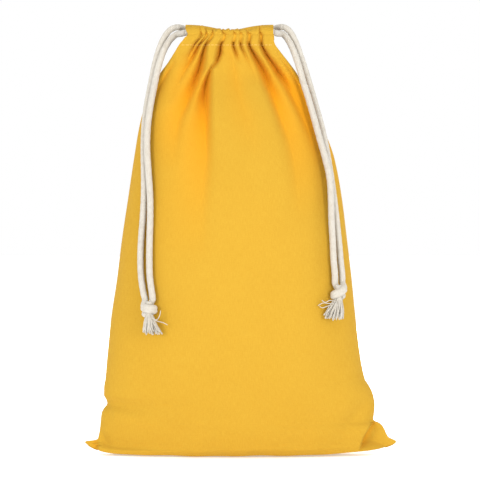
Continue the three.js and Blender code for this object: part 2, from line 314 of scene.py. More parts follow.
strand_routes = {
    "left_back_strand": [
        (-0.0504, 0.0016, 0.342), (-0.0528, 0.0016, 0.3417), (-0.056, 0.0012, 0.34),
        (-0.059, 0.0006, 0.3368), (-0.0619, -0.0004, 0.332), (-0.0644, -0.0018, 0.326),
        (-0.0666, -0.0034, 0.319), (-0.0688, -0.0048, 0.31), (-0.0709, -0.007, 0.299),
        (-0.073, -0.011, 0.288), (-0.0749, -0.0156, 0.276), (-0.0762, -0.0192, 0.262),
        (-0.0766, -0.024, 0.245), (-0.0762, -0.0289, 0.227), (-0.0761, -0.0331, 0.209),
        (-0.0769, -0.0354, 0.191), (-0.0782, -0.0368, 0.174), (-0.0788, -0.0381, 0.158),
        (-0.0782, -0.0398, 0.144), (-0.0764, -0.0422, 0.132), (-0.0748, -0.044, 0.1262),
    ],
    "left_front_strand": [
        (-0.0504, -0.0016, 0.3364), (-0.0526, -0.0022, 0.3352), (-0.0552, -0.0034, 0.3328),
        (-0.058, -0.0048, 0.329), (-0.0608, -0.0062, 0.3238), (-0.0632, -0.0078, 0.3174),
        (-0.0656, -0.0096, 0.309), (-0.0677, -0.012, 0.299), (-0.0698, -0.0158, 0.288),
        (-0.0718, -0.0204, 0.276), (-0.0734, -0.0248, 0.262), (-0.0738, -0.0294, 0.245),
        (-0.0726, -0.0338, 0.227), (-0.0713, -0.0376, 0.209), (-0.071, -0.0404, 0.191),
        (-0.0714, -0.0422, 0.174), (-0.0716, -0.0435, 0.158), (-0.0712, -0.0446, 0.144),
        (-0.0696, -0.046, 0.132), (-0.0689, -0.0468, 0.1262),
    ],
    "right_back_strand": [
        (0.0334, 0.0016, 0.3422), (0.0356, 0.0016, 0.3417), (0.0386, 0.0012, 0.3396),
        (0.0413, 0.0005, 0.3359), (0.0437, -0.0004, 0.331), (0.0459, -0.0014, 0.3254),
        (0.0483, -0.0024, 0.3184), (0.0512, -0.0034, 0.3095), (0.0544, -0.0044, 0.299),
        (0.0576, -0.0062, 0.288), (0.061, -0.0096, 0.2756), (0.0644, -0.0138, 0.263),
        (0.0672, -0.0184, 0.2496), (0.0696, -0.0218, 0.2356), (0.0718, -0.0244, 0.2214),
        (0.074, -0.027, 0.205), (0.076, -0.0278, 0.188), (0.0778, -0.0284, 0.171),
        (0.079, -0.0291, 0.1575), (0.0802, -0.0303, 0.146), (0.0804, -0.0316, 0.1388),
    ],
    "right_front_strand": [
        (0.0334, -0.0016, 0.3366), (0.0354, -0.0024, 0.3352), (0.0378, -0.0038, 0.332),
        (0.0402, -0.0052, 0.3276), (0.0426, -0.0066, 0.322), (0.0447, -0.0078, 0.316),
        (0.0469, -0.009, 0.3088), (0.0496, -0.0104, 0.299), (0.053, -0.0128, 0.288),
        (0.0566, -0.0164, 0.2756), (0.06, -0.0198, 0.263), (0.0636, -0.0232, 0.2496),
        (0.0674, -0.0272, 0.2356), (0.0704, -0.0304, 0.2214), (0.0714, -0.0322, 0.205),
        (0.0718, -0.0332, 0.188), (0.0728, -0.034, 0.171), (0.0734, -0.0349, 0.1575),
        (0.0744, -0.0357, 0.146), (0.0745, -0.0362, 0.1388),
    ],
}

twist_r = cord_r + 0.00025
tunnel_y = -(run_low[1] + twist_r + cord_r)
tunnel_z = (run_low[2] + run_high[2]) / 2
sag = 0.0024  # the cords hang a little lower half way along
tuck = 0.006  # the far turn begins this far inside the tunnel's end, where the cuff hides it
straight_end = 0.008  # the straight run stops this far inside the tunnel's end
exit_half = 0.0038  # the exit is cut in two this far outside the tunnel's end
cord_sides = 20

# The bend from a tunnel's end to its strand, and the turn at its far end. Each row tells how far
# outside the end the cord is (in far_bend: how far inside), what share of the tunnel's distance
# from the middle of the bag is left, and how far down it is. In exit_bend that is a share of the
# way to the strand.
exit_bend = [(-0.0036, 0.98, 0.25), (0.0002, 0.90, 0.58), (0.0030, 0.68, 0.85), (0.0053, 0.40, 0.98)]
far_bend = [(tuck, 1, 0), (0.0036, 0.93, 0), (0.0021, 0.66, 0.0004), (0.0015, 0.33, 0.001),
            (0.0013, 0, 0.0013)]

sides_of_bag = (("left", -1), ("right", 1))
faces_of_bag = (("front", -1), ("back", 1))


def braid(radius):
    """The radius of a soft braided cord, at a distance along it and angles round it."""
    lift, count, pitch = 0.045, 4, 0.0125

    def at(gone, angles):
        turn = 2 * np.pi * gone / pitch
        return radius * (1 + lift * np.cos(count * angles - turn) * np.cos(count * angles + turn))

    return at


def even(radius):
    return lambda gone, angles: radius + 0 * angles


def cord_tube(name, rings):
    verts, faces = tube(rings)
    return add_piece(name, verts, faces, cord_look)


def inside_tunnel(side, depth_sign, x):
    """Where one cord is in its tunnel: the two cords turn half way round each other."""
    turn = np.pi * float(smooth(x, hem_x0, hem_x1))
    up = -side * twist_r * math.cos(turn)
    across = -side * twist_r * math.sin(turn)
    lowered = sag * math.sin(turn)
    return (x, depth_sign * (tunnel_y + across), tunnel_z + up - lowered)


def whole_cord(side, depth_sign, strand):
    """One cord from the far end of its tunnel to its knot, and where its stretches end."""
    near, far = (hem_x0, hem_x1) if side < 0 else (hem_x1, hem_x0)
    stops = np.linspace(far + side * tuck, near - side * straight_end, 12)
    points = [inside_tunnel(side, depth_sign, x) for x in stops]
    z = points[-1][2]
    to_z = strand[0][2]
    for out, across, down in exit_bend:
        points.append((near + side * out, depth_sign * tunnel_y * across, z + (to_z - z) * down))
    path = spline(points + [tuple(p) for p in strand], 0.0009)
    cuts = [near, near + side * exit_half, strand[0][0]]
    places = [int(np.argmax(side * path[:, 0] >= side * x)) for x in cuts]
    return path, rings_along(path, braid(cord_r), cord_sides), places


def make_runs_and_exits():
    """The cords inside the tunnels, and the short stretches that join them to the strands."""
    for side_name, side in sides_of_bag:
        for face_name, depth_sign in faces_of_bag:
            mouth = f"{face_name}_mouth_half"
            prefix = f"{side_name}_{face_name}"
            path, rings, (end, half, hang) = whole_cord(side, depth_sign, strand_routes[f"{prefix}_strand"])
            run = cord_tube(f"{prefix}_run_cord", rings[:end + 1])
            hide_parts(f"{side_name}_cord_{face_name}_run")
            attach(run, mouth)
            inner = cord_tube(f"{prefix}_exit_inner", rings[end:half + 1])
            outer = cord_tube(f"{prefix}_exit_outer", rings[half:hang + 1])
            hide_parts(f"{side_name}_cord_{face_name}_exit")
            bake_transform(inner)
            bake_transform(outer)

        far = hem_x1 if side < 0 else hem_x0
        low = inside_tunnel(side, -1, far)[2]
        for face_name, depth_sign in faces_of_bag:
            path = spline([(far + side * inside, depth_sign * tunnel_y * across, low - down)
                           for inside, across, down in far_bend], 0.0006)
            half_turn = cord_tube(f"{side_name}_far_turn_{face_name}",
                                  rings_along(path, braid(cord_r), cord_sides))
            if face_name == "front":
                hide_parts(f"{side_name}_cord_far_turn")
            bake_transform(half_turn)


def knot_centre(side_name):
    low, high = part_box(f"{side_name}_knot")
    return (np.array(low) + np.array(high)) / 2


def make_knot(side_name, side):
    """An overhand knot tied in the doubled cord: two bands side by side round a core."""
    middle = knot_centre(side_name)
    band_r = 0.0024
    core_r = 0.0026
    wrap_r = 0.0042
    turns = 1.2
    highest = 0.0045  # above the middle of the knot
    fall = 0.0088
    parts = []
    for face_name in ("back", "front"):
        before, top = (np.array(p) for p in strand_routes[f"{side_name}_{face_name}_strand"][-2:])
        begin = math.atan2(top[1] - middle[1], top[0] - middle[0])
        points = [tuple(top + (before - top) * 0.15), tuple(top)]
        for s in np.linspace(0.12, 1, 18):
            turn = begin - side * turns * 2 * math.pi * s
            tighter = 1 - 0.55 * float(smooth(s, 0.86, 1))
            height = highest - fall * s + 0.0009 * math.sin(turn + 1.1)
            points.append((middle[0] + wrap_r * tighter * math.cos(turn),
                           middle[1] + wrap_r * 0.82 * tighter * math.sin(turn),
                           middle[2] + height))
        parts.append(sweep(spline(points, 0.0007), braid(band_r), 18))
    core = [middle + (0, 0, h) for h in (0.0058, 0.002, -0.002, -0.0062)]
    parts.append(sweep(spline(core, 0.0008), braid(core_r), 18))
    verts, faces = joined(parts)
    knot = add_piece(f"{side_name}_overhand_knot", verts, faces, cord_look)
    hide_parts(f"{side_name}_knot")
    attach(knot, f"{side_name}_cord_end")
    return knot


# Loose threads that stick out beside each frayed end: route points relative to the knot.
stray_threads = {
    "left": [
        [(0.002, -0.004, -0.006), (0.006, -0.005, -0.0085), (0.0085, -0.005, -0.005),
         (0.0092, -0.0045, -0.0012)],
        [(0.002, -0.004, -0.007), (0.007, -0.005, -0.0095), (0.011, -0.0055, -0.0105),
         (0.0146, -0.005, -0.0124)],
    ],
    "right": [
        [(-0.002, -0.004, -0.007), (-0.007, -0.005, -0.006), (-0.0105, -0.0055, -0.0075),
         (-0.0135, -0.005, -0.006)],
        [(-0.002, -0.004, -0.008), (-0.008, -0.005, -0.0085), (-0.0125, -0.0055, -0.008),
         (-0.0165, -0.005, -0.0102)],
        [(-0.003, -0.004, -0.009), (-0.009, -0.005, -0.0105), (-0.0128, -0.005, -0.0118),
         (-0.0152, -0.005, -0.0108)],
    ],
}


def two_ply(radius, length):
    """The radius of a two-ply yarn, which thins over its last fifth."""
    twist_per_metre = 2600  # radians

    def at(gone, angles):
        plies = 1 + 0.16 * np.cos(2 * angles - gone * twist_per_metre)
        return radius * plies * (1 - 0.35 * max(0.0, gone / length - 0.8) / 0.2)

    return at


def make_frayed_end(side_name):
    """The cord's yarns, untwisted below the knot and spread into a brush."""
    middle = knot_centre(side_name)
    low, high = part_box(f"{side_name}_frayed_end")
    foot = np.array([(low[0] + high[0]) / 2, (low[1] + high[1]) / 2, low[2]])
    foot[0] += (foot[0] - middle[0]) * 0.7
    root = 0.004  # the brush starts this far below the middle of the knot
    drop = middle[2] - root - low[2]
    golden_angle = 2.39996
    yarns = 60
    parts = []
    for i in range(yarns):
        share = math.sqrt((i + 0.5) / yarns)
        turn = i * golden_angle + rng.uniform(-0.2, 0.2)
        spread = share * rng.uniform(0.85, 1.05)
        reach = rng.uniform(0.80, 1.0) - 0.10 * share
        wave = rng.uniform(0, 2 * math.pi)
        points = []
        for s in np.linspace(0, 1, 8):
            width = 0.0024 + 0.0062 * s**1.15
            sway = 0.0007 * s * math.sin(wave + 6 * s)
            points.append((
                middle[0] + (foot[0] - middle[0]) * s + spread * width * math.cos(turn) + sway,
                middle[1] + (foot[1] - middle[1]) * s + 0.75 * spread * width * math.sin(turn) - sway,
                middle[2] - root - drop * reach * s))
        thick = rng.uniform(0.00055, 0.00078)
        parts.append(sweep(spline(points, 0.0009), two_ply(thick, path_length(points)), 7))
    for route in stray_threads[side_name]:
        points = [tuple(middle + np.array(p)) for p in route]
        parts.append(sweep(spline(points, 0.0008), even(0.00034), 6))
    verts, faces = joined(parts)
    end = add_piece(f"{side_name}_frayed_yarns", verts, faces, cord_look)
    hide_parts(f"{side_name}_frayed_end")
    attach(end, f"{side_name}_cord_end")
    return end


def make_strands():
    """The hanging stretches of cord, with the knot and the frayed end that hold them together."""
    for side_name, side in sides_of_bag:
        knot = make_knot(side_name, side)
        frayed = make_frayed_end(side_name)
        for face_name, depth_sign in faces_of_bag:
            name = f"{side_name}_{face_name}_strand"
            whole, rings, (_, _, hang) = whole_cord(side, depth_sign, strand_routes[name])
            strand = cord_tube(f"{side_name}_{face_name}_cord", rings[hang:])
            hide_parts(name)
            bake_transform(strand)


# ---------------------------------------------------------------- cloth
# The outline of the bag in millimetres, bottom to top. The two edges give height and x. fullness
# gives height, half depth, and how pointed the bag is towards its side edges.
left_edge = np.array([
    (0, -124.2), (1, -124.6), (2, -124.5), (3, -124.1), (3.6, -123.3), (4.1, -121.6), (4.5, -119),
    (5.2, -116.4), (6.2, -114.9), (7.5, -114.2), (9, -113.9), (14, -113.1), (20, -112.4),
    (26, -111.9), (32, -111.2), (36, -109.4), (40, -106.7),
    (43, -107.4), (47, -109.4), (53, -109.3), (60, -108.2), (76, -106.8), (108, -103.6), (140, -98.8),
    (172, -94.8), (204, -90), (236, -85.2), (260, -81.2), (276, -77.4), (292, -71.4), (301.4, -66.3),
    (306, -63.2), (313, -57.8), (321, -52.4), (328, -47.8), (332, -43.8), (334.5, -41.6),
    (338, -42.8), (341, -43.8), (345, -42),
])
right_edge = np.array([
    (0, 124.2), (1, 124.7), (3, 124.7), (4, 124.2), (5, 123.4), (6, 122.1), (7, 120.6), (8, 119.2),
    (9.5, 118.1), (12.4, 116.9),
    (17.5, 115.2), (20.5, 113.6), (23.2, 110.8), (24.6, 108.4), (25.4, 106.7), (26.5, 106.3), (32, 107),
    (38.8, 107.4), (44, 106.8), (49.4, 105.4), (55, 102.6), (60, 99.6), (76, 96.2), (108, 92.2),
    (140, 89), (172, 85.2), (204, 81.2), (236, 75.2), (260, 66.4), (276, 59.2), (292, 51.4), (305, 44.6),
    (314, 37.8), (321, 32), (328, 27), (332, 26.2), (335, 26), (338, 26), (341, 26.2), (345, 24.6),
])
fullness = np.array([
    (0, 26, 0.75), (5, 31, 0.84), (9, 32.4, 0.80), (14, 34.2, 0.70), (20, 36.3, 0.62), (26.5, 38.4, 0.58),
    (40, 42, 0.56), (60, 47.2, 0.52), (76, 50.6, 0.5), (108, 54.6, 0.5), (140, 56.2, 0.5), (172, 56.3, 0.5),
    (204, 53.4, 0.5), (236, 46.6, 0.5), (260, 39.6, 0.5), (276, 33.6, 0.48), (292, 26.2, 0.46),
    (305, 21, 0.40), (314, 20, 0.30), (321, 19.6, 0.22), (328, 19.4, 0.14), (345, 19.4, 0.12),
])
stitch_top = 334.3  # the panel ends and the tunnel's cloth begins at this height, in millimetres
edge_open = tunnel_y / MM + 8.75  # how far a mouth's side edges stand from the middle there
cord_room = 1.9  # the tunnel's cloth stays this far from the cords, in millimetres

# Every row of the cloth has the same columns, closer together near the side edges.
columns = 361
even_share = np.linspace(0, 1, columns)
panel_share = (1 - np.cos(np.pi * even_share)) / 2
to_edge = 2 * panel_share - 1
held = np.sin(np.pi * even_share)[None, :]**0.35  # the side seams hold the cloth, so folds fade there
full_shade_depth = 9  # a fold this deep, in millimetres, gets the full painted fold shade
sheet_width = 0.25

# The bottom corners, in millimetres: how far each is lifted, and how soon that fades upwards.
left_ear = 8.6
right_ear = 8.8
ear_reach = 14

# The ring of cloth round the cords, in millimetres: its middle, half depth and foot, and its
# crest, which is higher at the cuffs. Its cloth begins at ring_begin, in radians from the foot.
ring_y = tunnel_y / MM
ring_z = 336.0
ring_reach = 8.8
ring_foot = 7.6
crest_z = 340.2
cuff_rise = 3.0
ring_begin = 1.46

# Pleats that start in the gathers: lean, which tells the steep side of the pleat, and stops. Each
# stop has its height, place across the panel from 0 to 1, depth and half width, in millimetres.
front_pleats = [
    (0.5, [(345, 0.165, 1.4, 0.9), (329, 0.167, 5, 1.0), (322, 0.165, 3, 1.8), (314, 0.16, 0, 4)]),
    (0.6, [(345, 0.235, 1.6, 0.9), (329, 0.226, 6.5, 1.0), (322, 0.215, 7, 2.4), (312, 0.19, 5, 5),
           (298, 0.17, 2.4, 8), (280, 0.15, 0, 12)]),
    (0.8, [(345, 0.305, 1.8, 0.9), (329, 0.298, 7, 1.0), (321, 0.30, 10, 1.9), (308, 0.312, 11, 3.6),
           (296, 0.30, 9.5, 5.5), (284, 0.27, 7, 8), (268, 0.225, 4.5, 12), (246, 0.20, 2, 16),
           (225, 0.19, 0, 18)]),
    (-0.8, [(345, 0.42, 1.6, 0.9), (329, 0.407, 7.0, 1.2), (322, 0.397, 8.5, 1.9), (315, 0.385, 6, 1.8),
            (308, 0.378, 0, 1.4)]),
    (0.8, [(313, 0.379, 0, 1), (306, 0.381, 6, 1.8), (298, 0.384, 11, 3.2), (286, 0.385, 13, 5),
           (274, 0.382, 10, 7), (256, 0.372, 7, 11), (228, 0.362, 4.4, 15), (195, 0.352, 2.2, 19),
           (150, 0.35, 0, 22)]),
    (-0.6, [(345, 0.535, 1.5, 0.9), (329, 0.545, 5.5, 1.0), (321, 0.565, 4.5, 1.7), (312, 0.585, 0, 3)]),
    (0.5, [(345, 0.60, 1.6, 0.9), (329, 0.65, 5, 1.0), (319, 0.668, 3.0, 2.0), (306, 0.69, 1.6, 5),
           (292, 0.70, 0, 7)]),
    (-0.8, [(345, 0.70, 1.8, 0.9), (329, 0.705, 7.5, 1.0), (321, 0.706, 10, 1.9), (311, 0.722, 10.5, 3.4),
            (301, 0.735, 10.5, 4.8), (289, 0.755, 9, 6.5), (275, 0.77, 7, 9), (252, 0.785, 4.6, 13),
            (222, 0.79, 2.6, 17), (185, 0.79, 0, 21)]),
    (-0.8, [(345, 0.842, 1.8, 0.9), (329, 0.838, 7.5, 1.1), (319, 0.826, 9.5, 2.2), (306, 0.835, 10.5, 4.2),
            (295, 0.868, 9.5, 6), (275, 0.895, 6.5, 8.5), (258, 0.905, 4, 12), (228, 0.91, 0, 16)]),
    (0.0, [(322, 0.955, 0, 2.25), (312, 0.962, 2.6, 3), (298, 0.965, 4.2, 4), (276, 0.955, 3.4, 6),
           (244, 0.94, 1.8, 9), (200, 0.93, 0, 12)]),
    (0.2, [(332, 0.50, 0, 4), (320, 0.53, 2.2, 5), (295, 0.56, 2.8, 8), (270, 0.585, 2.2, 11),
           (235, 0.60, 0, 15)]),
    (0.0, [(318, 0.05, 0, 2.2), (306, 0.05, 3, 3), (294, 0.05, 4, 4.5), (272, 0.05, 0, 8)]),
]
back_pleats = [
    (0.4, [(345, 0.14, 1.6, 0.9), (329, 0.14, 8, 1.15), (318, 0.13, 6, 2.62), (300, 0.12, 4, 6.5),
           (262, 0.11, 0, 13)]),
    (0.4, [(345, 0.25, 1.6, 0.9), (329, 0.25, 9, 1.15), (318, 0.245, 8, 2.4), (296, 0.24, 6.5, 6),
           (262, 0.235, 3, 12), (205, 0.24, 0, 20)]),
    (-0.4, [(345, 0.36, 1.6, 0.9), (329, 0.37, 8, 1.15), (318, 0.375, 5, 2.4), (300, 0.38, 2, 6),
            (284, 0.38, 0, 9)]),
    (0.4, [(345, 0.47, 1.8, 0.9), (329, 0.47, 9.5, 1.15), (316, 0.468, 8.5, 3.2), (292, 0.46, 7, 6),
           (256, 0.455, 3.6, 13), (190, 0.45, 0, 22)]),
    (-0.4, [(345, 0.60, 1.6, 0.9), (329, 0.595, 7, 1.15), (320, 0.60, 4, 2.25), (306, 0.61, 0, 5)]),
    (-0.4, [(345, 0.69, 1.8, 0.9), (329, 0.69, 9.5, 1.15), (316, 0.70, 8.5, 3.6),
            (292, 0.715, 6.5, 7), (262, 0.73, 4, 12), (210, 0.735, 0, 20)]),
    (-0.4, [(345, 0.80, 1.6, 0.9), (329, 0.80, 8, 1.15), (318, 0.81, 6, 2.7), (300, 0.825, 3.6, 6.5),
            (270, 0.84, 0, 12)]),
    (0.3, [(345, 0.91, 1.4, 0.9), (329, 0.91, 6, 1.15), (316, 0.92, 4.5, 3.6), (294, 0.93, 3, 6),
           (262, 0.94, 0, 11)]),
]

# Soft dents lower down: from x, z to x, z, depth and half width, in millimetres. lean makes one
# side of the dent steeper.
front_dents = [
    (-106, 41, -76, 38, 2.4, 5, 0), (-76, 38, -50, 22, 1.5, 8, 0), (-106, 40, -101, 29, 2.6, 2.6, 0.5),
    (-113, 18, -104, 7, 2.6, 3.0, 0), (104, 47, 81, 20, 3.2, 6.5, 0), (121, 13, 114, 7, 1.2, 2.2, 0),
    (64, 262, 66, 150, 2.6, 6, 0), (-60, 120, -20, 60, 0.9, 18, 0), (40, 110, 10, 70, 0.8, 18, 0),
    (-84, 24, -60, 10, 1.2, 7, 0),
]
back_dents = [
    (-106, 38, -84, 24, 3.0, 6, 0), (108, 34, 84, 20, 3.4, 4.5, 0.4), (-40, 150, -10, 60, 0.9, 18, 0),
    (50, 130, 20, 60, 0.8, 18, 0),
]
# Where the filled part laps over a flat corner: down from x, z to x, z, how far back the corner
# lies, and its side of the bag.
front_laps = [(106.8, 27.2, 95.4, 7.0, 12.0, 1), (-113.6, 16, -112.6, 3, 7.0, -1)]
back_laps = [(-107, 30, -98, 8, 7.0, -1)]

# Treats that press out against the cloth: x, z and the height of the bump, in millimetres.
front_treats = [(-39, 10, 1.3), (-16, 16, 1.5), (8, 18, 1.4), (32, 18, 1.5), (61, 12, 1.2), (-64, 15, 0.8)]
back_treats = [(-50, 14, 1.2), (-20, 18, 1.4), (6, 13, 1.3), (36, 17, 1.4)]
treat_r = 10.5


def eased(table, place):
    """Monotone cubic through a table's rows, whose first column is the place."""
    x, y = table[:, 0], table[:, 1:]
    gap = np.diff(x)[:, None]
    slope = np.diff(y, axis=0) / gap
    tangent = np.zeros_like(y)
    product = slope[1:] * slope[:-1]
    total = slope[1:] + slope[:-1]
    tangent[1:-1] = np.where(product > 0, 2 * product / np.where(product > 0, total, 1), 0)
    tangent[0], tangent[-1] = slope[0], slope[-1]
    place = np.clip(place, x[0], x[-1])
    i = np.clip(np.searchsorted(x, place) - 1, 0, len(x) - 2)
    g = gap[i]
    t = ((place - x[i])[:, None]) / g
    return ((1 + 2 * t) * (1 - t)**2 * y[i] + t * (1 - t)**2 * g * tangent[i]
            + t**2 * (3 - 2 * t) * y[i + 1] + t**2 * (t - 1) * g * tangent[i + 1])


def section_at(place):
    """Left edge, right edge, half depth and pointedness at each height, as columns."""
    return np.column_stack([eased(left_edge, place), eased(right_edge, place), eased(fullness, place)])


def pleat_depth(pleats, x, z, left, right, squeeze=1.0):
    """How far the pleats draw the cloth in, and how far they pull it sideways.

    squeeze narrows every pleat.
    """
    drawn, pulled = np.zeros_like(x), np.zeros_like(x)
    crisp = smooth(z, 262, 312)  # pleats are soft below and crisp near the gathers
    for lean, stops in pleats:
        table = np.array(sorted(stops))
        at, depth, width = (np.interp(z, table[:, 0], table[:, k]) for k in (1, 2, 3))
        depth = np.where(z < table[0, 0], 0, depth)
        off = x - (left + at * (right - left))
        reach = squeeze * width * np.where(off < 0, 1 + 0.85 * lean, 1 - 0.85 * lean)
        shape = np.exp(-(np.abs(off) / np.maximum(reach, 0.4))**(1.7 - 0.5 * crisp))
        drawn = drawn + (1.15 + 0.15 * crisp) * depth * shape
        pulled += -lean * (0.25 + 0.2 * crisp) * depth * shape
    return drawn, pulled


def dents_and_bumps(dents, laps, treats, x, z):
    """How far the cloth lies in, and how much painted crease shade it has, from 0 to 1."""
    inward, painted_crease_shade = np.zeros_like(x), np.zeros_like(x)
    for x0, z0, x1, z1, depth, width, lean in dents:
        ax, az = x1 - x0, z1 - z0
        t = np.clip(((x - x0) * ax + (z - z0) * az) / (ax * ax + az * az), 0, 1)
        gone = np.hypot(x - x0 - t * ax, z - z0 - t * az)
        one_side = np.sign((x - x0) * az - (z - z0) * ax) * np.sign(az * ax)
        reach = width * (1 + lean * np.where(one_side > 0, -1, 1))
        fade = (1 - t)**0.8 if lean else 1 - 0.5 * np.abs(2 * t - 1)**2
        inward += depth * np.exp(-(gone / reach)**2) * fade
    for x0, z0, x1, z1, step, side in laps:
        along = np.clip((z0 - z) / (z0 - z1), -0.2, 1.3)
        bow = 1.6 * np.sin(np.pi * np.clip(along, 0, 1))
        beyond = side * (x - (x0 + (x1 - x0) * along)) + bow * side
        fade = smooth(along, -0.12, 0.02) * (1 - smooth(along, 0.7, 1.25))
        inward += step * smooth(beyond, -0.4, 0.9) * fade
        # Painted crease shade: along a lap's crease the cloth takes the fold shade colour, where shade
        # falls in the crease.
        lap_crease_shade = 0.5 * smooth(beyond, -0.3, 0.5) * (1 - smooth(beyond, 0.8, 7.0)) * fade
        painted_crease_shade = np.maximum(painted_crease_shade, lap_crease_shade)
    for tx, tz, height in treats:
        inward -= height * np.exp(-((x - tx)**2 + (z - tz)**2) / treat_r**2)
    return inward, painted_crease_shade


def unevenness(x, z, seed):
    """Slow, shallow waves all over the cloth, and finer puckers in the gathers."""
    out = np.zeros_like(x)
    for index in np.ndindex(x.shape):
        a, b = x[index], z[index]
        slow = noise.noise(Vector((a / 46, b / 75, seed)))
        middling = noise.noise(Vector((a / 15, b / 30, seed + 7)))
        fine = noise.noise(Vector((a / 4.2, b / 13, seed + 13)))
        near_top = min(max((b - 285) / 40, 0), 1)
        out[index] = 0.7 + 0.9 * slow + 0.28 * middling + 0.45 * near_top * (1 + fine)
    return out


def plain_panel():
    """One panel without folds, in millimetres: rows from the middle of the bottom to the stitches."""
    bottom = [(0.0, scale, 0.4 + 0.25 * scale**4) for scale in np.linspace(0, 1, 12, endpoint=False)]
    heights = np.concatenate([np.linspace(0, 9, 13), np.linspace(10, 60, 41),
                              np.linspace(62.5, 285, 84), np.linspace(286, stitch_top, 44)])
    wall = [(height, 1, height + 0.65) for height in heights]
    x, y, z = [], [], []
    for height, scale, level in bottom + wall:
        left, right, depth, point = section_at(np.array([height]))[0]
        opened = edge_open * float(smooth(height, slit_z / MM, stitch_top))
        swell = np.sin(np.pi * even_share)**(2 * point)
        x.append(left + panel_share * (right - left))
        y.append((opened + (depth - opened) * swell) * scale)
        z.append(np.full(columns, level))
    return np.array(x), np.array(y), np.array(z)


def bottom_lift(z, seed):
    """How far the bottom is lifted: a little all along, and more at the corners, like ears."""
    out = np.abs(to_edge)
    ear = np.where(to_edge < 0, left_ear * out**12, right_ear * (0.5 * out**2.5 + 0.5 * out**14))
    ripple = (0.5 * np.sin(12.4 * panel_share + 0.8) * np.sin(31 * panel_share + seed)
              * np.sin(np.pi * panel_share))
    return (ear + 0.5 + ripple) * np.exp(-z / ear_reach)


def folded_panel(pleats, dents, laps, treats, seed):
    """One panel with its folds, and its painted fold shade: how deep in a fold each point is, from 0 to 1.
    """
    x, y, z = plain_panel()
    z = z + bottom_lift(z, seed)
    edges = section_at(z[:, 0])
    drawn, pulled = pleat_depth(pleats, x, z, edges[:, :1], edges[:, 1:2])
    bumps, painted_crease_shade = dents_and_bumps(dents, laps, treats, x, z)
    # Painted fold shade: deeper folds and the laps' creases take more of the fold shade colour.
    painted_valley_shade = np.maximum(np.clip(drawn / full_shade_depth, 0, 1)**1.25 * smooth(y, 0.0, 8.0), painted_crease_shade)
    calm = smooth(z, 320, 334)  # the waves are gone where the tunnel begins
    inward = (drawn + bumps + unevenness(x, z, seed) * (1 - calm)) * held
    inward *= smooth(y, 0.0, 5.0)
    x = x + pulled * held
    least_y = 0.45  # the two panels stay this far from the plane between them
    y = np.maximum(y - inward, np.minimum(y, least_y))
    return x, y, z, painted_valley_shade


def hem_tunnel(pleats, seed):
    """The cloth round the cords: from the stitches up the outside, over and down the inside."""
    cuff = 1 - smooth(panel_share, 0.16, 0.30) * (1 - smooth(panel_share, 0.74, 0.86))
    crest = crest_z + cuff_rise * cuff - 1.5 * np.abs(to_edge)**9
    ruffle_x = panel_share * 78
    ruffle = (np.sin(ruffle_x * 1.45 + seed) + 0.7 * np.sin(ruffle_x * 2.3 + 2 * seed)
              + 0.6 * np.sin(ruffle_x * 0.83 + 1.7)) / 2.3
    lean_out = 0.5 * np.sin(ruffle_x * 0.9)
    x, y, z, painted_valley_shade = [], [], [], []
    for turn in np.linspace(ring_begin, 2 * np.pi - 0.35, 64):
        high = (1 - math.cos(turn)) / 2
        lift = ring_foot * (1 - high) + (crest - ring_z) * high
        height = ring_z - lift * math.cos(turn)
        row = section_at(height)
        left, right = row[:, 0], row[:, 1]
        flat_x = left + panel_share * (right - left)
        tight = float(smooth(turn, ring_begin, ring_begin + 0.45))
        narrow, slip = pleat_depth(pleats, flat_x, height, left, right, 1 - 0.35 * tight)
        inside = float(smooth(turn, math.pi, math.pi + 0.9))
        groove = np.minimum(narrow, 11) * (1 - tight) + np.minimum(0.45 * narrow, 2.8) * tight
        groove = groove * (1 - 0.7 * inside)
        wavy = high * (1 - 0.7 * cuff) * ruffle
        turned_in = np.sign(0.5 - panel_share) * 6.5 * inside * np.abs(to_edge)**3
        x.append(flat_x + turned_in + 0.5 * slip * (1 - tight) + lean_out * high * (1 - cuff))
        y.append(ring_y + (ring_reach - groove) * math.sin(turn))
        z.append(ring_z - (lift - groove * 0.55 * high + 0.9 * wavy) * math.cos(turn))
        # Painted fold shade in the tunnel's cloth, from the depth of its gathers.
        painted_valley_shade.append(np.clip(narrow / full_shade_depth, 0, 1) * (1 - 0.5 * tight))
    return x, y, z, painted_valley_shade


def clear_of_cords(x, y, z):
    """The cloth's y and z, pushed out where the cloth would come too near the two cords."""
    twist = np.pi * smooth(x * MM, hem_x0, hem_x1)
    middle_z = (tunnel_z - sag * np.sin(twist)) / MM
    half_y = (cord_r + twist_r * np.abs(np.sin(twist))) / MM + cord_room
    half_z = (cord_r + twist_r * np.abs(np.cos(twist))) / MM + cord_room
    near = np.hypot((y - ring_y) / half_y, (z - middle_z) / half_z)
    push = np.where((near < 1) & (z > 320), 1 / np.maximum(near, 0.15), 1)
    return ring_y + (y - ring_y) * push, middle_z + (z - middle_z) * push


def mark_cloth(cloth, points, painted_valley_shade):
    """Give the cloth its threads' own coordinates, in metres, and its painted fold shade, which follows its
    places in the folds.
    """
    middle = points[:, columns // 2]
    along = np.concatenate([[0], np.cumsum(np.linalg.norm(np.diff(middle, axis=0), axis=1))])
    across = (panel_share - 0.5) * sheet_width
    places = np.stack(np.broadcast_arrays(across[None, :], along[:, None]), axis=-1).reshape(-1, 2)
    uv = cloth.data.uv_layers.new(name="cloth")
    corners = np.zeros(len(cloth.data.loops), int)
    cloth.data.loops.foreach_get("vertex_index", corners)
    uv.data.foreach_set("uv", places[corners].astype(np.float32).ravel())
    # The painted fold shade, read by the cotton material.
    painted_fold_shade = cloth.data.attributes.new("painted_fold_shade", "FLOAT", "POINT")
    painted_fold_shade.data.foreach_set("value", painted_valley_shade.ravel().astype(np.float32))


def thicken(cloth):
    thick = cloth.modifiers.new("thickness", "SOLIDIFY")
    thick.thickness = 0.0005
    thick.offset = -1.0
    bpy.context.view_layer.objects.active = cloth
    cloth.select_set(True)
    bpy.ops.object.modifier_apply(modifier=thick.name)
    cloth.select_set(False)


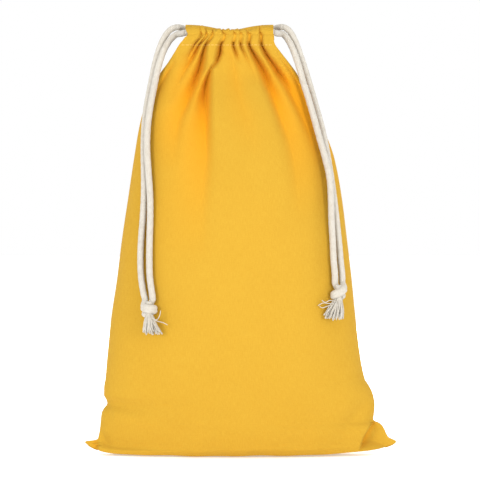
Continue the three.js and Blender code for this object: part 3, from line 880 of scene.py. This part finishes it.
def make_cloth(face_name, depth_sign, pleats, dents, laps, treats, seed):
    """One panel with its hem: up from the bottom fold to the stitches, over the cords and down."""
    panel = folded_panel(pleats, dents, laps, treats, seed)
    x, y, z, painted_valley_shade = (np.vstack(pair) for pair in zip(panel, hem_tunnel(pleats, seed)))
    y, z = clear_of_cords(x, y, z)
    points = np.stack([x, depth_sign * y, z], axis=-1) * MM

    index = np.arange(x.size).reshape(x.shape)
    a, b, c, d = index[:-1, :-1], index[:-1, 1:], index[1:, 1:], index[1:, :-1]
    quads = np.stack([a, b, c, d] if depth_sign < 0 else [a, d, c, b], axis=-1).reshape(-1, 4)
    cloth = add_piece(f"{face_name}_cloth", points.reshape(-1, 3), [tuple(q) for q in quads.tolist()],
                      cotton)
    mark_cloth(cloth, points, painted_valley_shade)
    thicken(cloth)

    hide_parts(f"{face_name}_panel", f"{face_name}_hem")
    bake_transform(cloth)
    return points


def make_stitching(face_name, depth_sign, points):
    """Short stitches in a row, each dipping into the cloth at both ends."""
    stitch_z = 0.3268
    free_columns = 12  # there is no stitch at the two ends of the row
    pitch = 0.0034
    length = 0.0025
    lift = 0.00022
    dip = 0.00012
    thread_r = 0.00024
    row = int(np.argmax(points[:, columns // 2, 2] > stitch_z))
    line = points[row, free_columns:-free_columns]
    run = np.concatenate([[0], np.cumsum(np.linalg.norm(np.diff(line, axis=0), axis=1))])
    parts = []
    for begin in np.arange(0.002, run[-1] - pitch, pitch):
        stitch = []
        for s in np.linspace(0, 1, 6):
            place = np.array([np.interp(begin + length * s, run, line[:, k]) for k in range(3)])
            place[1] += depth_sign * (lift * math.sin(math.pi * s) - dip)
            stitch.append(place)
        parts.append(sweep(stitch, even(thread_r), 7))
    verts, faces = joined(parts)
    row_of_stitches = add_piece(f"{face_name}_stitches", verts, faces, thread)
    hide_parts(f"{face_name}_hem_stitching")
    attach(row_of_stitches, f"{face_name}_mouth_half")


def make_seam(name, node_name, outer_line, inner_line):
    """A doubled seam allowance inside the bag, a strip between two lines that waves a little."""
    verts, faces = [], []
    half = 0.0005
    wave = 0.0005
    across = 5
    count = len(outer_line)
    for i, (outer, inner) in enumerate(zip(np.array(outer_line, float), np.array(inner_line, float))):
        for k in range(across):
            s = k / (across - 1)
            place = outer + (inner - outer) * s
            place = place + np.array([0, wave * s * math.sin(i * 0.9), 0])
            verts += [place + (0, -half, 0), place + (0, half, 0)]
    ring = 2 * across
    order = [2 * k for k in range(across)] + [2 * k + 1 for k in reversed(range(across))]
    for i in range(count - 1):
        for k in range(ring):
            a, b = order[k], order[(k + 1) % ring]
            faces.append((i * ring + a, i * ring + b, (i + 1) * ring + b, (i + 1) * ring + a))
    faces.append(tuple(order[::-1]))
    faces.append(tuple((count - 1) * ring + k for k in order))
    piece = add_piece(name, np.array(verts), faces, cotton)
    uv = piece.data.uv_layers.new(name="cloth")
    for loop in piece.data.loops:
        place = piece.data.vertices[loop.vertex_index].co
        uv.data[loop.index].uv = (place.x, place.z)
    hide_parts(node_name)
    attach(piece, "bag_body")


def make_seams():
    allowance = 0.0065
    edge_gap = 0.0024
    bottom_z = 0.0016
    heights = np.linspace(32, 300, 60)
    for side_name, side, column in (("left", 1, 0), ("right", -1, 1)):
        edge = section_at(heights)[:, column] * MM
        outer = [(x + side * edge_gap, 0, height * MM) for x, height in zip(edge, heights)]
        inner = [(x + side * allowance, y, z) for x, y, z in outer]
        make_seam(f"{side_name}_seam_allowance", f"{side_name}_side_seam", outer, inner)
    foot = [(x, 0, bottom_z) for x in np.linspace(-0.092, 0.084, 50)]
    raised = [(x, y, z + allowance) for x, y, z in foot]
    make_seam("bottom_seam_allowance", "bottom_seam", foot, raised)


# ---------------------------------------------------------------- floor and light
def add_area(name, place, aim, size, power):
    data = bpy.data.lights.new(name, "AREA")
    data.shape = "DISK"
    data.size = size
    data.energy = power
    lamp = bpy.data.objects.new(name, data)
    bpy.context.scene.collection.objects.link(lamp)
    lamp.location = place
    lamp.rotation_euler = (Vector(aim) - lamp.location).to_track_quat("-Z", "Y").to_euler()


def make_studio():
    reach = 6.0
    verts = [(-reach, -reach, 0), (reach, -reach, 0), (reach, reach, 0), (-reach, reach, 0)]
    mesh = bpy.data.meshes.new("floor")
    mesh.from_pydata(verts, [], [(0, 1, 2, 3)])
    mesh.materials.append(floor_material())
    floor = bpy.data.objects.new("floor", mesh)
    bpy.context.scene.collection.objects.link(floor)

    scene = bpy.context.scene
    scene.view_settings.view_transform = "Standard"
    world = bpy.data.worlds.new("studio")
    world.use_nodes = True
    world.node_tree.nodes["Background"].inputs["Color"].default_value = (1, 1, 1, 1)
    world.node_tree.nodes["Background"].inputs["Strength"].default_value = 1.0
    scene.world = world
    add_area("left_light", (-1.1, -2.0, 0.4), (0, 0, 0.16), 0.7, 20)
    add_area("right_light", (1.2, -2.0, 0.4), (0, 0, 0.16), 0.7, 18)
    add_area("top_light", (0.3, -0.5, 2.0), (0, 0, 0.2), 0.6, 4)
    add_area("back_light", (0.3, 2.0, 0.5), (0, 0, 0.2), 1.0, 34)


make_camera()
make_strands()
make_runs_and_exits()
front_grid = make_cloth("front", -1, front_pleats, front_dents, front_laps, front_treats, 3.0)
back_grid = make_cloth("back", 1, back_pleats, back_dents, back_laps, back_treats, 21.0)
make_stitching("front", -1, front_grid)
make_stitching("back", 1, back_grid)
make_seams()
make_studio()
